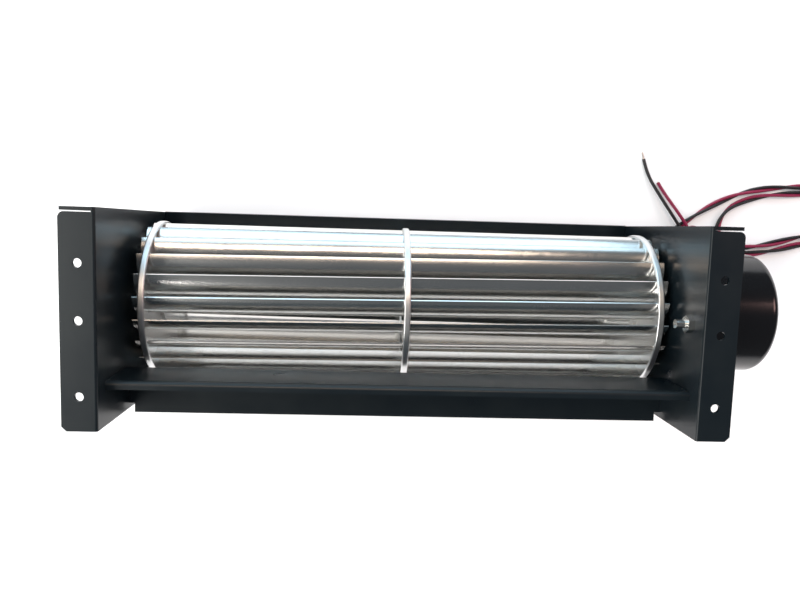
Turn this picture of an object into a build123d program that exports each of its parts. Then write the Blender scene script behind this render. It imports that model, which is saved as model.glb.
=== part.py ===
"""Cross flow fan: two folded end plates, a curved rear wall, a tongue plate, a long bladed
impeller on a common shaft line, and a motor on the right end plate with its twisted leads.

X runs along the shaft towards the motor, Y up the end plates, +Z out of the air inlet. The fan
lies on the rear edges of its end plates, in the plane Z = 0.
"""
import math
import os

from build123d import *

os.makedirs("parts", exist_ok=True)

# ---------------------------------------------------------------- driving dimensions (mm)
# casing
inner_width = 199.0          # between the inner faces of the end plates
plate_height = 72.7          # end plates, along Y
plate_depth = 88.0           # end plates, from the rear edge to the flange face
lip_back = 25.2              # rear end of the plates' top edge and of the rear wall, behind the shaft
rear_cut_height = 18.0       # the rear top corner is cut off down to this far below the top
plate_t = 1.2                # sheet of the end plates
bend_r = 0.8                 # inside radius of every fold in the plates
flange_width = 11.6          # front and top flanges, from the plate's inner face
flange_gap = 0.4             # relief between the front flange and the top flange
corner_cut = 1.6             # cut corners of the front flange
flange_round = 2.0           # round of the front flange's upper outer corner
hole_r = 1.5                 # fixing holes in the flanges
hole_inset = 5.8             # their distance from the plate's inner face
hole_heights = (11.5, 36.3, 54.9)

# sheets between the plates
sheet_t = 1.0                # rear wall and tongue plate
rear_gap = 3.0               # impeller to rear wall, at its closest
shelf_height = 15.5          # top face of the tongue's shelf, above the plates' bottom edge
shelf_front = 6.8            # shelf's front edge, behind the flange face
panel_back = 30.4            # face of the tongue's lower panel, behind the flange face
panel_drop = 1.45            # lower panel below the plates' bottom edge
shelf_lip = 3.0              # turned-down front edge of the shelf
panel_notch = 2.0            # relief at both lower corners of the panel
tab_width = 8.0              # tabs that pass through the end plates
tab_out = 0.8                # how far the tabs stand out of the plates
tab_clear = 0.1              # slot to tab, all round
low_tab_up = 9.6             # rear wall's lower tab, above the plates' bottom edge
high_tab_down = 8.0          # rear wall's upper tab, below the shaft line

# impeller
axis_height = 38.9           # above the plates' bottom edge
axis_back = 52.0             # behind the flange face
fan_r = 30.0                 # over the rims of the discs
left_margin = 6.8            # left plate to the middle of the left disc
right_margin = 5.2           # right plate to the middle of the right disc
middle_shift = 0.7           # middle disc, right of the half-way point
disc_t = 0.8                 # web of the discs
rim_width = 2.4              # rounded rim of the discs
rim_height = 1.3
blade_count = 22
blade_outer_r = 29.0
blade_inner_r = 21.0
blade_t = 0.4
blade_lag = 15.0             # degrees from the outer edge back to the inner edge
blade_bow = 1.5              # rise of the blade's arc
blade_skew = 5.0             # degrees of twist from end to end
blade_phase = 8.5            # degrees from the inlet's middle to the first blade
tip_out = 3.3                # blades past the middle of the end discs
slot_clear = 0.06            # disc slot to blade, all round
ring_bore_r = 19.5           # open middle of the centre disc

# shaft line
shaft_r = 2.0
running_clear = 0.03
seat_clear = 0.02
hub_r = 6.0
hub_flange_r = 9.0
hub_flange_t = 1.5
hub_length = 12.0
hub_chamfer = 0.6
shaft_in_hub = 9.6           # how far both shafts reach past their disc, inside the hubs
stub_out = 0.6               # stub shaft past the outer end of its bush
bush_r = 4.0
bush_length = 8.0
mount_r = 9.0                # rubber ring in the left plate
mount_seat_r = 7.5           # the hole that it sits in
mount_length = 5.2
mount_round = 0.8

# motor
motor_r = 23.6
motor_length = 41.0          # can, from the bracket to its end
can_t = 1.2
can_round = 3.2
cap_r = 15.0                 # shallow raised boss on the can's end
cap_rise = 0.8
bracket_t = 1.5
bracket_width = 13.0
front_screw_back = 9.4       # bracket's front screw, behind the flange face
lower_screw_up = 5.5         # bracket's lower screw, above the plates' bottom edge
motor_hole_r = 11.0          # opening in the right plate
bearing_r = 6.5
bearing_length = 5.0
boss_t = 1.2
stator_r = 20.6
stator_yoke = 3.0            # back iron of the stator, along its radius
tooth_width = 4.0
tooth_root = 2.0             # teeth start this far inside the stator's outer edge
stator_length = 14.0
stator_from = 18.5           # stator, from the bracket
slot_count = 6
ring_length = 3.0            # clamp rings at both ends of the stator
ring_width = 2.5             # how far they reach over it
coil_wide = 4.4              # one coil, over its two sides, along the radius
coil_high = 8.0
coil_hole = 4.1              # its hole, a little more than the tooth
coil_round = 1.0
coil_out = 2.0               # coil ends past the stator
coil_from = 3.2              # middle of the coil, outside the teeth's ends
rotor_r = 10.5
rotor_core_r = 7.0
air_gap = 0.5
board_t = 1.6
board_from = 5.5
board_notch = 8.0            # way for the leads in the board's edge
board_bore_gap = 1.0         # round the bracket's bearing boss

# fasteners
screw_r = 1.5
screw_length = 8.5
head_r = 2.9
head_t = 1.9
nut_flats = 5.5
nut_t = 2.2
motor_screw_circle = 17.0
motor_screw_r = 1.25
motor_screw_length = 3.0     # past the bracket, into the can
motor_head_r = 2.6

# leads
lead_d = 2.8                 # over the twisted pair
wire_d = 1.4                 # one strand
grommet_r = 3.0
grommet_out = 0.8            # past both faces of the can's wall
grommet_from = 12.0          # along the can, from the bracket

# ---------------------------------------------------------------- places worked out from them
overall_x = flange_width + inner_width + plate_t + bracket_t + motor_length + cap_rise
left_x = flange_width - overall_x / 2                  # inner face of the left plate
right_x = left_x + inner_width
bottom_y = -(plate_height - panel_drop) / 2            # bottom edge of the end plates
top_y = bottom_y + plate_height
front_z = plate_depth
axis_y = bottom_y + axis_height
axis_z = front_z - axis_back
bracket_x = right_x + plate_t                          # where the motor's bracket starts
can_x = bracket_x + bracket_t
can_end_x = can_x + motor_length
rear_r = fan_r + rear_gap
left_disc_x = left_x + left_margin
right_disc_x = right_x - right_margin
middle_disc_x = (left_disc_x + right_disc_x) / 2 + middle_shift
blade_from_x = left_disc_x - tip_out
blade_to_x = right_disc_x + tip_out
shaft_line = Axis((0, axis_y, axis_z), (1, 0, 0))


def across(x):
    """Plane square to the shaft at x: local x is Y and local y is Z."""
    return Plane.YZ.offset(x)


def on_shaft(x):
    """The same plane, with its middle on the shaft line."""
    return Plane(origin=(x, axis_y, axis_z), x_dir=(0, 1, 0), z_dir=(1, 0, 0))


def keep(piece, name):
    """Label a finished piece and write it to its own file."""
    piece.part.label = name
    export_step(piece.part, f"parts/{name}.step")


def disc(radius, inner, start, end):
    """A round washer on the shaft line from start to end along X."""
    with BuildPart() as ring:
        with BuildSketch(on_shaft(start)):
            Circle(radius)
            if inner:
                Circle(inner, mode=Mode.SUBTRACT)
        extrude(amount=end - start)
    return ring


# ---------------------------------------------------------------- sheets: their outlines first
rear_axis = (axis_y, axis_z)
lip_dy = top_y - axis_y
lip_reach = math.hypot(lip_dy, lip_back)
lip_angle = -math.degrees(math.atan2(lip_back, lip_dy))
touch_angle = lip_angle - math.degrees(math.acos(rear_r / lip_reach))
touch = (axis_y + rear_r * math.cos(math.radians(touch_angle)),
         axis_z + rear_r * math.sin(math.radians(touch_angle)))
lip_z = axis_z - lip_back
lip_end = (top_y, lip_z)
rear_face_z = axis_z - rear_r
rear_foot = (bottom_y, rear_face_z)


def end_plate(name, inner_x, side, bore_r, holes_x):
    """Folded end plate. side is -1 on the left and +1 on the right, the way its flanges turn."""
    outer_x = inner_x + side * plate_t
    with BuildPart() as plate:
        with BuildSketch(across(inner_x)):
            with BuildLine():
                Polyline((bottom_y, 0), (bottom_y, front_z), (top_y, front_z),
                         (top_y, lip_z), (top_y - rear_cut_height, 0), close=True)
            make_face()
        extrude(amount=side * plate_t)
        with BuildSketch(Plane.XY.offset(front_z)):
            with BuildLine():
                Polyline((inner_x, bottom_y), (inner_x + side * flange_width, bottom_y),
                         (inner_x + side * flange_width, top_y - plate_t - flange_gap),
                         (inner_x, top_y - plate_t - flange_gap), close=True)
            make_face()
        extrude(amount=-plate_t)
        front_corners = plate.edges().filter_by(Axis.Z).group_by(Axis.X)[0 if side < 0 else -1]
        chamfer(front_corners.sort_by(Axis.Y)[0], corner_cut)
        front_corners = plate.edges().filter_by(Axis.Z).group_by(Axis.X)[0 if side < 0 else -1]
        fillet(front_corners.sort_by(Axis.Y)[-1], flange_round)
        with BuildSketch(Plane.XZ.offset(-top_y)):
            with BuildLine():
                Polyline((inner_x, lip_z),
                         (inner_x + side * flange_width, lip_z),
                         (inner_x + side * flange_width, front_z - plate_t),
                         (inner_x, front_z - plate_t), close=True)
            make_face()
        extrude(amount=plate_t)
        outer_bend = plate.edges().filter_by(Axis.Y).filter_by_position(
            Axis.Z, front_z, front_z).group_by(Axis.X)[-1 if side < 0 else 0]
        fillet(outer_bend, bend_r)
        with BuildSketch(on_shaft(inner_x)):
            Circle(bore_r)
        extrude(amount=side * plate_t, mode=Mode.SUBTRACT)
        with BuildSketch(Plane.XY.offset(front_z)):
            with Locations(*[(holes_x, bottom_y + height) for height in hole_heights]):
                Circle(hole_r)
        extrude(amount=-plate_t, mode=Mode.SUBTRACT)
        for centre_y, centre_z, long_y, long_z in tab_places:
            with BuildSketch(across(inner_x)):
                with Locations((centre_y, centre_z)):
                    Rectangle(long_y + 2 * tab_clear, long_z + 2 * tab_clear)
            extrude(amount=side * plate_t, mode=Mode.SUBTRACT)
        if side > 0:
            with BuildSketch(across(inner_x)):
                with Locations(front_screw, lower_screw):
                    Circle(screw_r + running_clear)
                with Locations(*motor_screws):
                    Circle(head_r)
            extrude(amount=side * plate_t, mode=Mode.SUBTRACT)
    keep(plate, name)
    return plate


# tabs: centre and size in Y and Z of each one, shared by the sheets and their slots
panel_z = front_z - panel_back
shelf_y = bottom_y + shelf_height
wall_tab = (bottom_y + low_tab_up, rear_face_z - sheet_t / 2, tab_width, sheet_t)
wall_tab_high = (axis_y - high_tab_down, rear_face_z - sheet_t / 2, tab_width, sheet_t)
panel_tab = (bottom_y + shelf_height / 2, panel_z - sheet_t / 2, shelf_height / 2, sheet_t)
shelf_tab = (shelf_y - sheet_t / 2, (panel_z + front_z - shelf_front) / 2, sheet_t, tab_width)
wall_tabs = (wall_tab, wall_tab_high)
tongue_tabs = (panel_tab, shelf_tab)
tab_places = wall_tabs + tongue_tabs
front_screw = (axis_y, front_z - front_screw_back)
lower_screw = (bottom_y + lower_screw_up, axis_z)
motor_screws = [(axis_y + motor_screw_circle * math.cos(math.radians(turn)),
                 axis_z + motor_screw_circle * math.sin(math.radians(turn)))
                for turn in (0, 180)]


def end_tabs(places):
    """Tabs past both ends of a sheet, through the end plates."""
    reach = plate_t + tab_out
    with BuildPart() as tabs:
        for start in (left_x - reach, right_x):
            with BuildSketch(across(start)):
                for centre_y, centre_z, long_y, long_z in places:
                    with Locations((centre_y, centre_z)):
                        Rectangle(long_y, long_z)
            extrude(amount=reach)
    return tabs.part


# ---------------------------------------------------------------- casing
end_plate("left_end_plate", left_x, -1, mount_seat_r, left_x - hole_inset)
end_plate("right_end_plate", right_x, 1, motor_hole_r, right_x + hole_inset)

with BuildPart() as rear_wall:
    with BuildSketch(across(left_x)):
        with BuildLine():
            lip = Line(lip_end, touch)
            wrap = CenterArc(rear_axis, rear_r, touch_angle, -90 - touch_angle)
            foot = Line(wrap @ 1, rear_foot)
            back_foot = Line(foot @ 1, foot @ 1 + Vector(0, -sheet_t))
            Line(back_foot @ 1, (axis_y, rear_face_z - sheet_t))
            back_wrap = CenterArc(rear_axis, rear_r + sheet_t, -90, 90 + touch_angle)
            back_touch = back_wrap @ 1
            back_lip = Line(back_touch, lip @ 0 + (back_touch - Vector(*touch)))
            Line(back_lip @ 1, lip @ 0)
        make_face()
    extrude(amount=inner_width)
    add(end_tabs(wall_tabs))
keep(rear_wall, "rear_wall")

with BuildPart() as tongue:
    with BuildSketch(across(left_x)):
        with BuildLine():
            front = front_z - shelf_front
            Polyline((shelf_y, front), (shelf_y, panel_z - sheet_t),
                     (bottom_y - panel_drop, panel_z - sheet_t), (bottom_y - panel_drop, panel_z),
                     (shelf_y - sheet_t, panel_z), (shelf_y - sheet_t, front - sheet_t),
                     (shelf_y - shelf_lip, front - sheet_t), (shelf_y - shelf_lip, front),
                     close=True)
        make_face()
    extrude(amount=inner_width)
    folds = tongue.edges().filter_by(Axis.X)
    outside = folds.filter_by_position(Axis.Y, shelf_y, shelf_y)
    fillet(outside, bend_r + sheet_t)
    with BuildSketch(Plane.XZ.offset(-(bottom_y - panel_drop))):
        for corner in (left_x, right_x):
            with Locations((corner, panel_z - sheet_t / 2)):
                Rectangle(2 * panel_notch, 3 * sheet_t)
    extrude(amount=-(panel_drop + panel_notch), mode=Mode.SUBTRACT)
    add(end_tabs(tongue_tabs))
keep(tongue, "tongue_plate")


# ---------------------------------------------------------------- impeller
def blade_section(turn, grow=0.0):
    """Section of one curved blade, turned about the shaft, with its convex side to the inlet."""
    lag = math.radians(turn - blade_lag)
    tip = math.radians(turn)
    outer = Vector(blade_outer_r * math.sin(tip), blade_outer_r * math.cos(tip))
    inner = Vector(blade_inner_r * math.sin(lag), blade_inner_r * math.cos(lag))
    chord = (outer - inner).normalized()
    square = Vector(-chord.Y, chord.X)
    outer = outer + chord * grow
    inner = inner - chord * grow
    middle = (outer + inner) / 2 + square * blade_bow
    half = square * (blade_t / 2 + grow)
    with BuildSketch() as section:
        with BuildLine():
            near = ThreePointArc(inner + half, middle + half, outer + half)
            far = ThreePointArc(inner - half, middle - half, outer - half)
            Line(near @ 0, far @ 0)
            Line(near @ 1, far @ 1)
        make_face()
    return section.sketch


def skew_at(x):
    """Twist of the blades at x, none at the middle of their length."""
    middle = (blade_from_x + blade_to_x) / 2
    return blade_skew * (x - middle) / (blade_to_x - blade_from_x)


blade_turns = [blade_phase + index * 360 / blade_count for index in range(blade_count)]

for index, turn in enumerate(blade_turns, start=1):
    with BuildPart() as blade:
        for end_x in (blade_from_x, blade_to_x):
            with BuildSketch(on_shaft(end_x)):
                add(blade_section(turn + skew_at(end_x)))
        loft(ruled=True)
    keep(blade, f"blade_{index:02d}")


def fan_disc(name, x, bore):
    """Pressed disc with a rounded rim, slotted for the blades."""
    with BuildPart() as wheel:
        with BuildSketch(Plane.XY.offset(axis_z)):
            with Locations((x, axis_y + (bore + fan_r) / 2)):
                Rectangle(disc_t, fan_r - bore - rim_height)
            with Locations((x, axis_y + fan_r - rim_height / 2)):
                RectangleRounded(rim_width, rim_height, rim_height / 2 - slot_clear)
        revolve(axis=shaft_line)
        with BuildSketch(on_shaft(x - rim_width)):
            for turn in blade_turns:
                add(blade_section(turn + skew_at(x), slot_clear))
        extrude(amount=2 * rim_width, mode=Mode.SUBTRACT)
    keep(wheel, name)


fan_disc("fan_disc_left", left_disc_x, hub_r)
fan_disc("fan_disc_middle", middle_disc_x, ring_bore_r)
fan_disc("fan_disc_right", right_disc_x, hub_r)


def hub(name, face_x, inward, bore):
    """Flanged hub seated in an end disc, its flange on the disc's inner face."""
    with BuildPart() as boss:
        with BuildSketch(on_shaft(face_x - inward * disc_t / 2)):
            Circle(hub_r)
        extrude(amount=inward * hub_length)
        with BuildSketch(on_shaft(face_x + inward * disc_t / 2)):
            Circle(hub_flange_r)
        extrude(amount=inward * hub_flange_t)
        chamfer(boss.edges().filter_by(GeomType.CIRCLE).group_by(Axis.X)[-1 if inward > 0 else 0],
                hub_chamfer)
        with BuildSketch(on_shaft(face_x - inward * disc_t / 2)):
            Circle(bore)
        extrude(amount=inward * hub_length, mode=Mode.SUBTRACT)
    keep(boss, name)


hub("hub_left", left_disc_x, 1, shaft_r + seat_clear)
hub("hub_right", right_disc_x, -1, shaft_r + seat_clear)
bush_from = left_x - plate_t / 2 - bush_length / 2

stub = disc(shaft_r, 0, bush_from - stub_out, left_disc_x + shaft_in_hub)
keep(stub, "stub_shaft")
motor_shaft = disc(shaft_r, 0, right_disc_x - shaft_in_hub, can_end_x - can_t)
keep(motor_shaft, "motor_shaft")

# ---------------------------------------------------------------- left bearing
bush = disc(bush_r, shaft_r + running_clear, bush_from, bush_from + bush_length)
keep(bush, "bearing_bush")

with BuildPart() as rubber_mount:
    middle = left_x - plate_t / 2
    with BuildSketch(on_shaft(middle - mount_length / 2)):
        Circle(mount_r)
    extrude(amount=mount_length)
    fillet(rubber_mount.edges().filter_by(GeomType.CIRCLE), mount_round)
    with BuildSketch(on_shaft(left_x - plate_t)):
        Circle(mount_r + 1)
        Circle(mount_seat_r, mode=Mode.SUBTRACT)
    extrude(amount=plate_t, mode=Mode.SUBTRACT)
    with BuildSketch(on_shaft(middle - mount_length / 2)):
        Circle(bush_r)
    extrude(amount=mount_length, mode=Mode.SUBTRACT)
keep(rubber_mount, "bearing_mount")

# ---------------------------------------------------------------- motor
with BuildPart() as bracket:
    with BuildSketch(on_shaft(bracket_x)):
        Circle(motor_r)
        for reach_y, reach_z in ((0, front_screw[1] - axis_z), (lower_screw[0] - axis_y, 0)):
            with Locations((reach_y / 2, reach_z / 2)):
                SlotCenterToCenter(abs(reach_y + reach_z), bracket_width, rotation=90 if reach_z else 0)
        Circle(bearing_r, mode=Mode.SUBTRACT)
    extrude(amount=bracket_t)
    with BuildSketch(across(bracket_x)):
        with Locations(front_screw, lower_screw):
            Circle(screw_r + running_clear)
        with Locations(*motor_screws):
            Circle(motor_screw_r)
    extrude(amount=bracket_t, mode=Mode.SUBTRACT)
    with BuildSketch(on_shaft(can_x)):
        Circle(bearing_r + boss_t)
        Circle(bearing_r, mode=Mode.SUBTRACT)
    extrude(amount=bearing_length - bracket_t)
keep(bracket, "motor_bracket")

grommet_x = can_x + grommet_from
with BuildPart() as can:
    with BuildSketch(on_shaft(can_x)):
        Circle(motor_r)
    extrude(amount=motor_length)
    fillet(can.edges().filter_by(GeomType.CIRCLE).group_by(Axis.X)[-1], can_round)
    with BuildSketch(on_shaft(can_end_x)):
        Circle(cap_r)
    extrude(amount=cap_rise)
    fillet(can.edges().filter_by(GeomType.CIRCLE).group_by(Axis.X)[-1], cap_rise / 2)
    with BuildSketch(on_shaft(can_x)):
        Circle(motor_r - can_t)
    extrude(amount=motor_length - can_t, mode=Mode.SUBTRACT)
    with BuildSketch(on_shaft(can_end_x - can_t)):
        Circle(bearing_r + boss_t)
        Circle(bearing_r, mode=Mode.SUBTRACT)
    extrude(amount=-bearing_length)
    with BuildSketch(Plane.XZ.offset(-axis_y)):
        with Locations((grommet_x, axis_z)):
            Circle(grommet_r)
    extrude(amount=-motor_r, mode=Mode.SUBTRACT)
keep(can, "motor_can")

keep(disc(bearing_r, shaft_r + running_clear, bracket_x, bracket_x + bearing_length), "front_bearing")
rear_bearing_x = can_end_x - can_t - bearing_length
keep(disc(bearing_r, shaft_r + running_clear, rear_bearing_x, can_end_x - can_t), "rear_bearing")

stator_x = can_x + stator_from
stator_end_x = stator_x + stator_length
tooth_end_r = stator_r - tooth_root
with BuildPart() as stator:
    with BuildSketch(on_shaft(stator_x)):
        Circle(stator_r)
        Circle(stator_r - stator_yoke, mode=Mode.SUBTRACT)
    extrude(amount=stator_length)
    with BuildSketch(on_shaft(stator_x)):
        with PolarLocations((rotor_r + air_gap + tooth_end_r) / 2, slot_count):
            Rectangle(tooth_end_r - rotor_r - air_gap, tooth_width)
        Circle(rotor_r + air_gap, mode=Mode.SUBTRACT)
    extrude(amount=stator_length)
keep(stator, "stator_core")

with BuildPart() as clamp_rings:
    for end_x in (stator_x - ring_length, stator_end_x):
        with BuildSketch(on_shaft(end_x)):
            Circle(motor_r - can_t)
            Circle(stator_r - ring_width, mode=Mode.SUBTRACT)
        extrude(amount=ring_length)
keep(clamp_rings, "stator_rings")

coil_r = rotor_r + air_gap + coil_from
with BuildPart() as windings:
    with BuildSketch(on_shaft(stator_x - coil_out)):
        with PolarLocations(coil_r, slot_count):
            RectangleRounded(coil_wide, coil_high, coil_round)
            Rectangle(coil_wide, coil_hole, mode=Mode.SUBTRACT)
    extrude(amount=stator_length + 2 * coil_out)
keep(windings, "stator_windings")

keep(disc(rotor_r, rotor_core_r, stator_x, stator_end_x), "rotor_magnet")
keep(disc(rotor_core_r, shaft_r + seat_clear, stator_x, stator_end_x), "rotor_core")

board_x = can_x + board_from
with BuildPart() as board:
    with BuildSketch(on_shaft(board_x)):
        Circle(motor_r - can_t)
        Circle(bearing_r + boss_t + board_bore_gap, mode=Mode.SUBTRACT)
        with Locations((motor_r - can_t, 0)):
            Rectangle(board_notch, board_notch, mode=Mode.SUBTRACT)
    extrude(amount=board_t)
keep(board, "circuit_board")

grommet_top = axis_y + motor_r
with BuildPart() as grommet:
    with BuildSketch(Plane.XZ.offset(-(grommet_top - can_t - grommet_out))):
        with Locations((grommet_x, axis_z)):
            Circle(grommet_r)
            Circle(lead_d / 2, mode=Mode.SUBTRACT)
    extrude(amount=-(can_t + 2 * grommet_out))
keep(grommet, "lead_grommet")


# ---------------------------------------------------------------- fasteners
def screws(name, places, head_x, length, radius, head, thick):
    """Pan-head screws pointing back along X, with their heads' undersides at head_x."""
    with BuildPart() as group:
        with BuildSketch(across(head_x)):
            with Locations(*places):
                Circle(radius)
        extrude(amount=-length)
        with BuildSketch(across(head_x)):
            with Locations(*places):
                Circle(head)
        extrude(amount=thick)
        tops = group.edges().filter_by(GeomType.CIRCLE).group_by(Axis.X)[-1]
        fillet(tops, thick / 3)
        with BuildSketch(across(head_x + thick)):
            with Locations(*places):
                Rectangle(head, head / 4)
                Rectangle(head / 4, head)
        extrude(amount=-thick / 2, mode=Mode.SUBTRACT)
    keep(group, name)


screws("bracket_screws", (front_screw, lower_screw), can_x, screw_length, screw_r, head_r, head_t)

with BuildPart() as nuts:
    with BuildSketch(across(left_x + inner_width - nut_t)):
        with Locations(front_screw, lower_screw):
            RegularPolygon(nut_flats / 2, 6, major_radius=False)
            Circle(screw_r, mode=Mode.SUBTRACT)
    extrude(amount=nut_t)
keep(nuts, "bracket_nuts")

with BuildPart() as motor_bolts:
    with BuildSketch(across(bracket_x)):
        with Locations(*motor_screws):
            Circle(motor_screw_r)
    extrude(amount=bracket_t + motor_screw_length)
    with BuildSketch(across(bracket_x)):
        with Locations(*motor_screws):
            Circle(motor_head_r)
    extrude(amount=-plate_t)
keep(motor_bolts, "motor_screws")


# ---------------------------------------------------------------- leads, lying beside the fan
def along(points):
    """Route of a lead: straight runs joined by tangent arcs as large as the runs allow."""
    places = [Vector(left_x + x, bottom_y + y, z) for x, y, z in points]
    radii = []
    for before, corner, after in zip(places, places[1:], places[2:]):
        turn = math.radians((corner - before).get_angle(after - corner))
        shorter = min((corner - before).length, (after - corner).length)
        radii.append(0.45 * shorter / math.tan(turn / 2))
    with BuildLine() as route:
        FilletPolyline(*places, radius=radii)
    return route, radii


def lead(name, points, diameter):
    """Plain round lead along its route."""
    route, radii = along(points)
    line = route.line
    with BuildPart() as tube:
        with BuildSketch(Plane(origin=line @ 0, z_dir=line % 0)):
            Circle(diameter / 2)
        sweep(path=line)
    keep(tube, name)
    length = sum(edge.length for edge in line.edges())
    ideal = math.pi * diameter ** 2 / 4 * length
    print(name, "length", round(length, 1), "volume share", round(tube.part.volume / ideal, 4),
          "smallest radius", round(min(radii), 1), "radii", [round(r, 1) for r in radii])


floor_z = lead_d / 2 + 0.1
exit_x = grommet_x - left_x
exit_y = axis_height + motor_r + grommet_out
pair_route = [
    (exit_x, exit_y, axis_z), (exit_x, 70, axis_z), (220, 73, 29), (230, 70, 19.5),
    (240.5, 66.5, 11), (250.5, 64.5, 4.5), (260.5, 65, floor_z), (271, 67, floor_z), (285, 71, floor_z),
    (301, 73.5, floor_z), (302, 91, floor_z), (286, 90, floor_z), (271, 89.3, floor_z),
    (258, 87, floor_z), (247, 81.5, floor_z), (243.5, 70, floor_z), (253, 61, floor_z),
    (270, 63.2, floor_z), (286, 67.8, floor_z), (305.5, 70, floor_z), (306.5, 94.5, floor_z),
    (286, 93.2, floor_z), (270, 92.3, floor_z), (256, 90, floor_z), (243, 84.5, floor_z),
    (232, 77.5, floor_z), (221, 68.5, floor_z), (216, 57, floor_z), (221, 47, floor_z),
    (231, 46, floor_z), (236, 54, floor_z), (233.5, 63, floor_z)]
wire_z = wire_d / 2 + 0.1
black_route = [(232.3, 64.3, floor_z), (229.4, 68.4, 3.4), (225.2, 74.5, 4.1),
               (216.8, 86.5, 2.6), (210.5, 96.5, 1.1), (208.8, 103, wire_z)]
red_route = [(234.5, 64.6, floor_z), (232.3, 68.8, 3.4), (228.8, 74.6, 4.1),
             (223, 82.5, 2.8), (218.7, 88.4, 1.4), (216, 92.8, wire_z)]
lead("motor_lead", pair_route, lead_d)
lead("lead_end_black", black_route, wire_d)
lead("lead_end_red", red_route, wire_d)
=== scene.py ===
# %% [markdown]
# # Cross flow fan
# A cross flow fan draws air in along the whole length of its drum and blows it out through a slot.
# The part comes packed as a fixed frame of solids, each one already in its place. This lesson
# gives every solid its finish, makes the twisted leads, and sets up the camera, floor and light.
# Loading the frame first means that nothing has to be fitted by eye: a piece goes where the
# solids say.

import math

import bmesh
import bpy
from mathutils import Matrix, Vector


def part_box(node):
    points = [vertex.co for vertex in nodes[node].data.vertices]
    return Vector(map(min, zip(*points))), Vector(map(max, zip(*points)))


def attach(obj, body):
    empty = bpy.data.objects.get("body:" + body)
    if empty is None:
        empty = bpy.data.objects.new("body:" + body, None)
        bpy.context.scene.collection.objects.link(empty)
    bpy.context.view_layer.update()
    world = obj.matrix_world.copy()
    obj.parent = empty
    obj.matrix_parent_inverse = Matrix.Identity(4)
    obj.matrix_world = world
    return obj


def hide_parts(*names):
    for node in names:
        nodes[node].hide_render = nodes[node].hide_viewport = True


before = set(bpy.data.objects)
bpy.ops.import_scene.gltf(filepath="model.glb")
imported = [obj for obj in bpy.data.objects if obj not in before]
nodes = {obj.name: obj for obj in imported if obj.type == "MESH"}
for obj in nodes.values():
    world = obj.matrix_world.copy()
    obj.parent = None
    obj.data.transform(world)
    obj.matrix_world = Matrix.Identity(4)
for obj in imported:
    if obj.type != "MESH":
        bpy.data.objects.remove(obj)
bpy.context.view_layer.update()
scene = bpy.context.scene
print("nodes", len(nodes))

# %% [markdown]
# ## Reference places
# Measures are read from the solids instead of being typed in: the left end plate gives the inner
# face, the bottom edge and the flange's plane, and the middle disc gives the shaft line. If the
# model changes, the camera and the leads follow it.

# %% Reference places
left_low, left_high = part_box("left_end_plate")
disc_low, disc_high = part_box("fan_disc_middle")
grommet_low, grommet_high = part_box("lead_grommet")
left_x = left_high[0]
bottom_y = left_low[1]
flange_z = left_high[2]
shaft = Vector((0, (disc_low[1] + disc_high[1]) / 2, (disc_low[2] + disc_high[2]) / 2))
print("inner face", round(left_x, 5), "flange plane", round(flange_z, 5), "shaft", tuple(shaft))


# %% Small helper
def new_object(name, data):
    """An object at the origin, linked to the scene."""
    made = bpy.data.objects.new(name, data)
    scene.collection.objects.link(made)
    return made


# %% [markdown]
# ## Camera
# The fan lies on its back on a table and is seen from above, a little from its left and from
# beyond its outlet. A camera could be aimed with a constraint, but a free place and turn keep the
# slight roll of a hand-held view. The lens is given for the default 36 mm sensor. The Standard
# view transform shows colours as they are mixed, with a clean white.

# %% Camera
camera_across = 0.08596
camera_up = 0.06924
camera_above = 0.2261
camera_data = bpy.data.cameras.new("camera")
camera_data.lens = 31.48
camera = new_object("camera", camera_data)
camera.location = (left_x + camera_across, bottom_y + camera_up, flange_z + camera_above)
camera.rotation_mode = "ZYX"
camera.rotation_euler = (-0.10373, -0.04893, 0.02553)
scene.camera = camera
scene.view_settings.view_transform = "Standard"
print("camera at", tuple(round(value, 4) for value in camera.location))

# %% [markdown]
# ## Shader helpers
# A material is a graph of nodes. It could be wired by hand in the editor, but as Python
# expressions it stays readable. The first class wraps one socket, and each operator adds one Math
# node. The second holds a node tree, and makes any other node from its type, settings and inputs.


# %% Socket maths
class Wire:
    """A node socket whose operators add Math nodes."""

    def __init__(self, graph, socket):
        self.graph = graph
        self.socket = socket

    def maths(self, operation, *values):
        return self.graph.node("ShaderNodeMath", {"operation": operation}, dict(enumerate(values)))

    def __add__(self, other):
        return self.maths("ADD", self, other)

    def __mul__(self, other):
        return self.maths("MULTIPLY", self, other)

    __radd__ = __add__
    __rmul__ = __mul__


# %% Node graph
class Graph:
    """A node tree and the ways to add to it."""

    def __init__(self, tree):
        self.tree = tree

    def node(self, kind, settings, values, output=0):
        """One node: its settings first, then a value or a link for each socket."""
        made = self.tree.nodes.new(kind)
        for key, value in settings.items():
            setattr(made, key, value)
        for key, value in values.items():
            if isinstance(value, Wire):
                self.tree.links.new(value.socket, made.inputs[key])
            else:
                made.inputs[key].default_value = value
        return Wire(self, made.outputs[output])

    def blend(self, mask, first, second):
        """Two colours mixed by a mask. In a colour Mix node, sockets 6 and 7 are the colours."""
        colours = [value if isinstance(value, Wire) else (*value, 1) for value in (first, second)]
        return self.node("ShaderNodeMix", {"data_type": "RGBA"}, {
            "Factor": mask, 6: colours[0], 7: colours[1]}, 2)

    def ray(self, kind):
        """1 where the ray is of that kind, and 0 elsewhere."""
        return self.node("ShaderNodeLightPath", {}, {}, kind)


# %% [markdown]
# ## One material
# Every finish here is a Principled shader with constant values, over which noise then varies the
# colour, the roughness or a fine bump. The noise reads Object coordinates, so the grain keeps its
# real size in metres on a small screw and on a long sheet, and turns with the drum.


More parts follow.
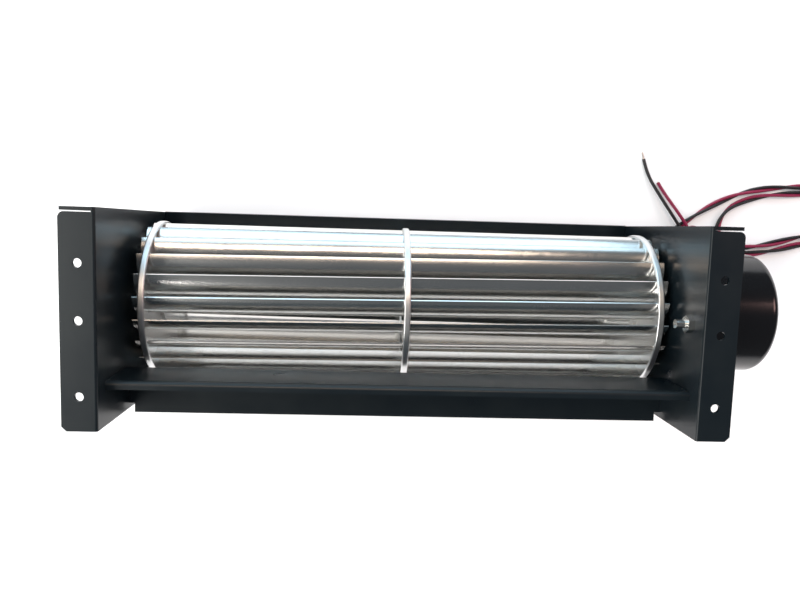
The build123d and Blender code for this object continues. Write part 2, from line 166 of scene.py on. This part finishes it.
# %% Paint
class Paint(Graph):
    """A new material with its Principled shader."""

    def __init__(self, name, base, roughness, metallic=0.0):
        self.material = bpy.data.materials.new(name)
        self.material.use_nodes = True
        super().__init__(self.material.node_tree)
        self.shader = self.tree.nodes["Principled BSDF"]
        self.fix("Base Color", (*base, 1))
        self.fix("Roughness", roughness)
        self.fix("Metallic", metallic)

    def fix(self, name, value):
        """The same value all over the surface."""
        self.shader.inputs[name].default_value = value

    def vary(self, name, wire):
        """A value that changes over the surface."""
        self.tree.links.new(wire.socket, self.shader.inputs[name])

    def noise(self, size, detail=2.0, scale=(1, 1, 1)):
        """Noise from 0 to 1 with lumps of that size in metres, longer where scale is small."""
        coordinates = self.node("ShaderNodeTexCoord", {}, {}, "Object")
        place = self.node("ShaderNodeMapping", {}, {"Vector": coordinates, "Scale": scale})
        return self.node("ShaderNodeTexNoise", {}, {
            "Vector": place, "Scale": 1 / size, "Detail": detail}, "Fac")

    def bump(self, height, strength, distance):
        """Small relief, as a change of the surface's direction only."""
        self.vary("Normal", self.node("ShaderNodeBump", {}, {
            "Height": height, "Strength": strength, "Distance": distance}))

    def give(self, *names):
        """Puts the material on those solids."""
        for name in names:
            mesh = nodes[name].data
            mesh.materials.clear()
            mesh.materials.append(self.material)
        print(self.material.name, "on", len(names))


# %% [markdown]
# ## Black enamel
# The casing is folded sheet steel with a smooth black baked enamel: nearly black, with a soft shine and
# a very slight orange peel. Its faint blue-green cast is painted sheen: the base colours are tinted to
# stand in for the teal that the sheets reflect. A plain dark grey would look like plastic, so slow
# patches change the colour and the shine together, and a millimetre-sized noise makes the peel.

# %% Black enamel
# The blue-green tint in these base colours is painted sheen.
enamel = Paint("black_enamel", (0.006, 0.009, 0.011), 0.3)
enamel.fix("Specular IOR Level", 0.36)
patches = enamel.noise(0.012, 3)
enamel.vary("Base Color", enamel.blend(patches, (0.003, 0.006, 0.009), (0.007, 0.011, 0.013)))
enamel.vary("Roughness", 0.24 + patches * 0.12)
enamel.bump(enamel.noise(0.0011, 2), 0.05, 0.0001)
enamel.give("left_end_plate", "right_end_plate", "rear_wall", "tongue_plate")

# %% [markdown]
# ## Motor can
# The can is deep-drawn and painted a glossier black than the sheets. Handling leaves faint
# smudges, which are broad and change only the shine.

# %% Motor can
can_black = Paint("motor_black", (0.005, 0.005, 0.006), 0.16)
can_black.vary("Roughness", 0.12 + can_black.noise(0.02, 2) * 0.1)
can_black.give("motor_can", "motor_bracket")

# %% [markdown]
# ## Bright blades
# The blades are bright rolled strip: it mirrors the room, with fine streaks along the rolling
# direction. Noise that is stretched a hundred times along X makes the streaks. They vary the
# roughness and leave the surface smooth, because real strip is flat to the touch. A slow cloud
# with a little bump makes the mirrored bands waver as they do on thin metal.

# %% Bright blades
strip = Paint("bright_strip", (0.82, 0.83, 0.84), 0.2, metallic=1.0)
streaks = strip.noise(0.0015, 2, (0.01, 1, 1))
cloud = strip.noise(0.05, 2)
strip.vary("Roughness", 0.17 + streaks * 0.03 + cloud * 0.08)
strip.vary("Base Color", strip.blend(cloud, (0.80, 0.79, 0.77), (0.88, 0.87, 0.84)))
strip.bump(cloud, 0.04, 0.002)
strip.give(*[name for name in nodes if name.startswith("blade_")])

# %% [markdown]
# ## Discs and hubs
# The discs are pressed from duller sheet, and the tool leaves a fine matt grain on their rims.

# %% Discs and hubs
pressed = Paint("pressed_disc", (0.80, 0.81, 0.81), 0.36, metallic=1.0)
grain = pressed.noise(0.0015, 3)
pressed.vary("Roughness", 0.3 + grain * 0.16)
pressed.bump(grain, 0.08, 0.0001)
pressed.give("fan_disc_left", "fan_disc_middle", "fan_disc_right", "hub_left", "hub_right")

# %% [markdown]
# ## Small metals, rubber and the motor's inside
# These pieces differ in colour and shine but share one kind of finish: a fine speck that darkens
# the colour by a fifth, moves the roughness a little and gives some relief. One function makes
# them all, so that they also hold up from close by.

# %% Small finishes
speck_shade = 0.8
speck_roughness = 0.12


def specked(name, base, roughness, metallic, size, *names):
    """A finish with fine specks of that size, put on the named solids."""
    paint = Paint(name, base, roughness, metallic)
    speck = paint.noise(size, 3)
    darker = tuple(channel * speck_shade for channel in base)
    paint.vary("Base Color", paint.blend(speck, darker, base))
    paint.vary("Roughness", roughness - speck_roughness / 2 + speck * speck_roughness)
    paint.bump(speck, 0.1, 0.0001)
    paint.give(*names)
    return paint


# %% Motor and bearing finishes
specked("shaft_steel", (0.56, 0.57, 0.58), 0.25, 1.0, 0.0008,
        "stub_shaft", "motor_shaft", "front_bearing", "rear_bearing")
specked("lamination", (0.30, 0.30, 0.31), 0.4, 1.0, 0.0008, "stator_core", "rotor_core")
specked("magnet", (0.05, 0.05, 0.055), 0.5, 0.6, 0.001, "rotor_magnet")
specked("bronze", (0.55, 0.36, 0.16), 0.35, 1.0, 0.0006, "bearing_bush")
specked("rubber", (0.018, 0.018, 0.019), 0.6, 0.0, 0.0008, "bearing_mount", "lead_grommet")
specked("winding_copper", (0.72, 0.33, 0.15), 0.3, 1.0, 0.0005, "stator_windings")
specked("board_green", (0.03, 0.18, 0.08), 0.4, 0.0, 0.002, "circuit_board", "stator_rings")
specked("zinc", (0.78, 0.78, 0.76), 0.22, 1.0, 0.0006,
        "bracket_screws", "bracket_nuts", "motor_screws")

# %% Lead finishes
black_wire = specked("black_insulation", (0.015, 0.015, 0.017), 0.42, 0.0, 0.001, "lead_end_black")
red_wire = specked("red_insulation", (0.27, 0.010, 0.055), 0.4, 0.0, 0.001, "lead_end_red")
tinned = specked("tinned_strand", (0.75, 0.72, 0.66), 0.3, 1.0, 0.0006)

# %% [markdown]
# ## The leads' routes
# The motor's red and black leads are twisted together, leave the can through its grommet, drop to
# the table and lie beside the fan in a loose flat hank. Their last few centimetres are apart. Each
# route is a short list of points measured from the left end plate's inner face and bottom edge,
# and lies where the part's plain lead lies.

# %% Lead sizes
wire_radius = 0.0007
floor_z = 0.0015
wire_z = 0.0008
exit_x = (grommet_low[0] + grommet_high[0]) / 2 - left_x
exit_y = 0.0633

# %% Lead routes
pair_route = [
    (exit_x, exit_y, shaft.z), (exit_x, 0.070, shaft.z), (0.220, 0.073, 0.029),
    (0.230, 0.070, 0.0195), (0.2405, 0.0665, 0.011), (0.2505, 0.0645, 0.0045),
    (0.2605, 0.065, floor_z), (0.271, 0.067, floor_z), (0.285, 0.071, floor_z),
    (0.301, 0.0735, floor_z), (0.302, 0.091, floor_z), (0.286, 0.090, floor_z),
    (0.271, 0.0893, floor_z), (0.258, 0.087, floor_z), (0.247, 0.0815, floor_z),
    (0.2435, 0.070, floor_z), (0.253, 0.061, floor_z), (0.270, 0.0632, floor_z),
    (0.286, 0.0678, floor_z), (0.3055, 0.070, floor_z), (0.3065, 0.0945, floor_z),
    (0.286, 0.0932, floor_z), (0.270, 0.0923, floor_z), (0.256, 0.090, floor_z),
    (0.243, 0.0845, floor_z), (0.232, 0.0775, floor_z), (0.221, 0.0685, floor_z),
    (0.216, 0.057, floor_z), (0.221, 0.047, floor_z), (0.231, 0.046, floor_z),
    (0.236, 0.054, floor_z), (0.2335, 0.063, floor_z)]
black_route = [
    (0.2323, 0.0643, floor_z), (0.2294, 0.0684, 0.0034), (0.2252, 0.0745, 0.0041),
    (0.2168, 0.0865, 0.0026), (0.2105, 0.0965, 0.0011), (0.2088, 0.103, wire_z)]
red_route = [
    (0.2345, 0.0646, floor_z), (0.2323, 0.0688, 0.0034), (0.2288, 0.0746, 0.0041),
    (0.223, 0.0825, 0.0028), (0.2187, 0.0884, 0.0014), (0.216, 0.0928, wire_z)]


def placed(route):
    """Route points in the part's own frame."""
    return [Vector((left_x + x, bottom_y + y, z)) for x, y, z in route]


print("pair route of", len(pair_route), "points")

# %% [markdown]
# ## One smooth line
# A limp wire never shows straight runs and corners. A NURBS curve with the route's points as its
# control points passes smoothly near them. Its order and its end setting come after the points
# are added, or they fall back to straight runs.


# %% Smooth line
def new_curve(name, kind, points):
    """A curve of one spline through or near those points."""
    curve = bpy.data.curves.new(name, "CURVE")
    curve.dimensions = "3D"
    spline = curve.splines.new(kind)
    spline.points.add(len(points) - 1)
    for knot, point in zip(spline.points, points):
        knot.co = (*point, 1)
    return curve, spline


def smooth_line(name, points):
    """A NURBS curve in the scene, with the points as its control points."""
    curve, spline = new_curve(name, "NURBS", points)
    curve.resolution_u = 12
    spline.order_u = 3
    spline.use_endpoint_u = True
    return new_object(name, curve)


def read_line(line):
    """The points along a bare curve, as Blender works them out."""
    mesh = bpy.data.meshes.new_from_object(line)
    points = [vertex.co.copy() for vertex in mesh.vertices]
    bpy.data.meshes.remove(mesh)
    return points


def line_length(points):
    return sum((after - before).length for before, after in zip(points, points[1:]))


# %% [markdown]
# ## Winding two strands round the line
# The middle of each insulated wire runs one wire radius away from the line and turns round it once
# in every 42 mm. The two strands start on opposite sides, so they touch all the way. The line is
# first given even steps, so that the turns come out smooth. A tube made by the curve's bevel then
# gives the wire its thickness.

# %% Strands
even_step = 0.0008
twist_pitch = 0.042
strand_bevel = 3


def even(points, step):
    """The same line with its points evenly spaced."""
    result = [points[0]]
    left = step
    for start, end in zip(points, points[1:]):
        run = (end - start).length
        while run >= left:
            start = start + (end - start).normalized() * left
            result.append(start)
            run = run - left
            left = step
        left = left - run
    result.append(points[-1])
    return result


def wound(points, phase):
    """Points of one strand, turning round the line from that angle on."""
    side = Vector((0, 0, 1))
    travelled = 0.0
    winding = []
    for index, point in enumerate(points):
        ahead = points[min(index + 1, len(points) - 1)]
        behind = points[max(index - 1, 0)]
        forward = (ahead - behind).normalized()
        side = (side - forward * side.dot(forward)).normalized()
        turn = phase + 2 * math.pi * travelled / twist_pitch
        across = side * math.cos(turn) + forward.cross(side) * math.sin(turn)
        winding.append(point + across * wire_radius)
        travelled += (ahead - point).length
    return winding


def strand_mesh(name, points):
    """A closed round tube along those points."""
    curve, _ = new_curve(name, "POLY", points)
    curve.bevel_depth = wire_radius
    curve.bevel_resolution = strand_bevel
    curve.use_fill_caps = True
    holder = bpy.data.objects.new(name, curve)
    mesh = bpy.data.meshes.new_from_object(holder)
    bpy.data.objects.remove(holder)
    return mesh


# %% [markdown]
# ## The twisted pair
# Both strands become one mesh, with the black insulation in its first material slot and the red
# in its second, because they are handled as one cord. It stands in for the part's plain lead.

# %% Twisted pair
pair_line = smooth_line("pair_line", placed(pair_route))
pair_points = even(read_line(pair_line), even_step)
bpy.data.objects.remove(pair_line)

both = bmesh.new()
both.from_mesh(strand_mesh("black_strand", wound(pair_points, 0.0)))
black_faces = len(both.faces)
both.from_mesh(strand_mesh("red_strand", wound(pair_points, math.pi)))
both.faces.ensure_lookup_table()
for face in both.faces:
    face.smooth = True
for face in both.faces[black_faces:]:
    face.material_index = 1
pair_mesh = bpy.data.meshes.new("twisted_leads")
both.to_mesh(pair_mesh)
both.free()
pair_mesh.materials.append(black_wire.material)
pair_mesh.materials.append(red_wire.material)
twisted_leads = new_object("twisted_leads", pair_mesh)
print("twisted pair of", len(pair_mesh.polygons), "faces")

path_stride = 3
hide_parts("motor_lead")
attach(twisted_leads, "casing")
line_length(pair_points)
pair_points[::path_stride] + [pair_points[-1]]
print("twisted pair", round(line_length(pair_points), 4), "m long")

# %% [markdown]
# ## Loose ends
# The last of each lead is untwisted and stripped, ready to be joined. The wire is a NURBS curve
# with a round bevel, and the bare strands are a slim cone that carries on in the wire's own
# direction. The black lead shows more bare metal than the red one.

# %% Bare tip
tip_segments = 12
tip_root = 0.62
tip_point = 0.45
tip_sunk = 0.0004


def bare_tip(name, end, onward, bare):
    """Tinned strands that stand out of the insulation's end by about bare."""
    tip = bmesh.new()
    bmesh.ops.create_cone(tip, cap_ends=True, segments=tip_segments, radius1=wire_radius * tip_root,
                          radius2=wire_radius * tip_point, depth=bare)
    turn = onward.to_track_quat("Z", "Y").to_matrix().to_4x4()
    bmesh.ops.transform(tip, matrix=turn, verts=tip.verts)
    bmesh.ops.translate(tip, vec=end + onward * (bare / 2 - tip_sunk), verts=tip.verts)
    mesh = bpy.data.meshes.new(name)
    tip.to_mesh(mesh)
    tip.free()
    mesh.materials.append(tinned.material)
    piece = new_object(name, mesh)
    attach(piece, "casing")
    return piece


# %% Loose ends
end_bevel = 4


def loose_end(name, route, node, paint, bare):
    """One lead's own end, with its stripped strands."""
    points = placed(route)
    wire = smooth_line(name, points)
    length = line_length(read_line(wire))
    wire.data.bevel_depth = wire_radius
    wire.data.bevel_resolution = end_bevel
    wire.data.use_fill_caps = True
    wire.data.materials.append(paint.material)
    onward = (points[-1] - points[-2]).normalized()
    tip = bare_tip(f"{name}_tip", points[-1], onward, bare)
    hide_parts(node)
    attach(wire, "casing")
    print(name, round(length, 4), "m long")


loose_end("black_end", black_route, "lead_end_black", black_wire, 0.0035)
loose_end("red_end", red_route, "lead_end_red", red_wire, 0.0008)

# %% [markdown]
# ## Floor
# A plain white floor takes the part's soft shadow. It could be lit until it is white, but that
# would also wash out the part, so it glows a little for the camera only. The glow is added to the
# light that it gets, which leaves the shadow on it.

# %% Floor
floor_half = 3.0
floor_glow = (0.07, 0.07, 0.07)
dark = (0, 0, 0)
floor_shape = bmesh.new()
bmesh.ops.create_grid(floor_shape, x_segments=1, y_segments=1, size=floor_half)
floor_mesh = bpy.data.meshes.new("floor")
floor_shape.to_mesh(floor_mesh)
floor_shape.free()
floor = new_object("floor", floor_mesh)

floor_white = Paint("floor_white", (0.9, 0.9, 0.9), 0.9)
floor_white.vary("Emission Color", floor_white.blend(floor_white.ray("Is Camera Ray"), dark, floor_glow))
floor_white.fix("Emission Strength", 1.0)
floor_mesh.materials.append(floor_white.material)
print("floor", 2 * floor_half, "m wide")

# %% [markdown]
# ## Sky
# The sky gives even light from all sides. Reflections see a much darker sky, as in a room, so the
# black stays black and the bright strip mirrors the lamps. The camera sees white.

# %% Sky
room_light = (0.66, 0.68, 0.72)
room_mirrored = (0.09, 0.10, 0.11)
white = (1, 1, 1)
world = bpy.data.worlds.new("studio")
scene.world = world
world.use_nodes = True
sky = Graph(world.node_tree)
mirrored = sky.blend(sky.ray("Is Glossy Ray"), room_light, room_mirrored)
seen = sky.blend(sky.ray("Is Camera Ray"), mirrored, white)
background = world.node_tree.nodes["Background"]
world.node_tree.links.new(seen.socket, background.inputs["Color"])
background.inputs["Strength"].default_value = 1.0
print("sky nodes", len(world.node_tree.nodes))

# %% [markdown]
# ## Lamps
# Large soft lamps make broad bands on the curved blades instead of hard spots. A cool window
# behind the drum colours its upper blades, a warm strip above it the next ones, and smaller lamps
# at the left and far right give the sheets their sheen. All of them point at the drum.

# %% Lamps
lamp_aim = Vector((0, 0, 0.04))


def lamp(name, place, width, depth, power, colour):
    """A soft rectangular lamp that points at the drum."""
    data = bpy.data.lights.new(name, "AREA")
    data.shape = "RECTANGLE"
    data.size = width
    data.size_y = depth
    data.energy = power
    data.color = colour
    made = new_object(name, data)
    made.location = place
    made.rotation_euler = (lamp_aim - Vector(place)).to_track_quat("-Z", "Y").to_euler()
    print("lamp", name, power, "W")


lamp("window", (-0.2, 0.8, 0.45), 1.4, 0.6, 6.0, (0.6, 0.84, 1.0))
lamp("wall", (-0.1, 0.45, 0.95), 0.7, 0.25, 3.0, (1.0, 0.8, 0.64))
lamp("door", (-0.6, -0.5, 0.55), 0.45, 0.35, 6.0, (1.0, 0.97, 0.93))
lamp("ceiling", (-0.75, 0.0, 0.9), 0.5, 0.5, 4.0, (1.0, 0.99, 0.94))
lamp("far_room", (0.75, 0.25, 0.7), 0.25, 0.3, 1.5, (1.0, 0.6, 0.55))
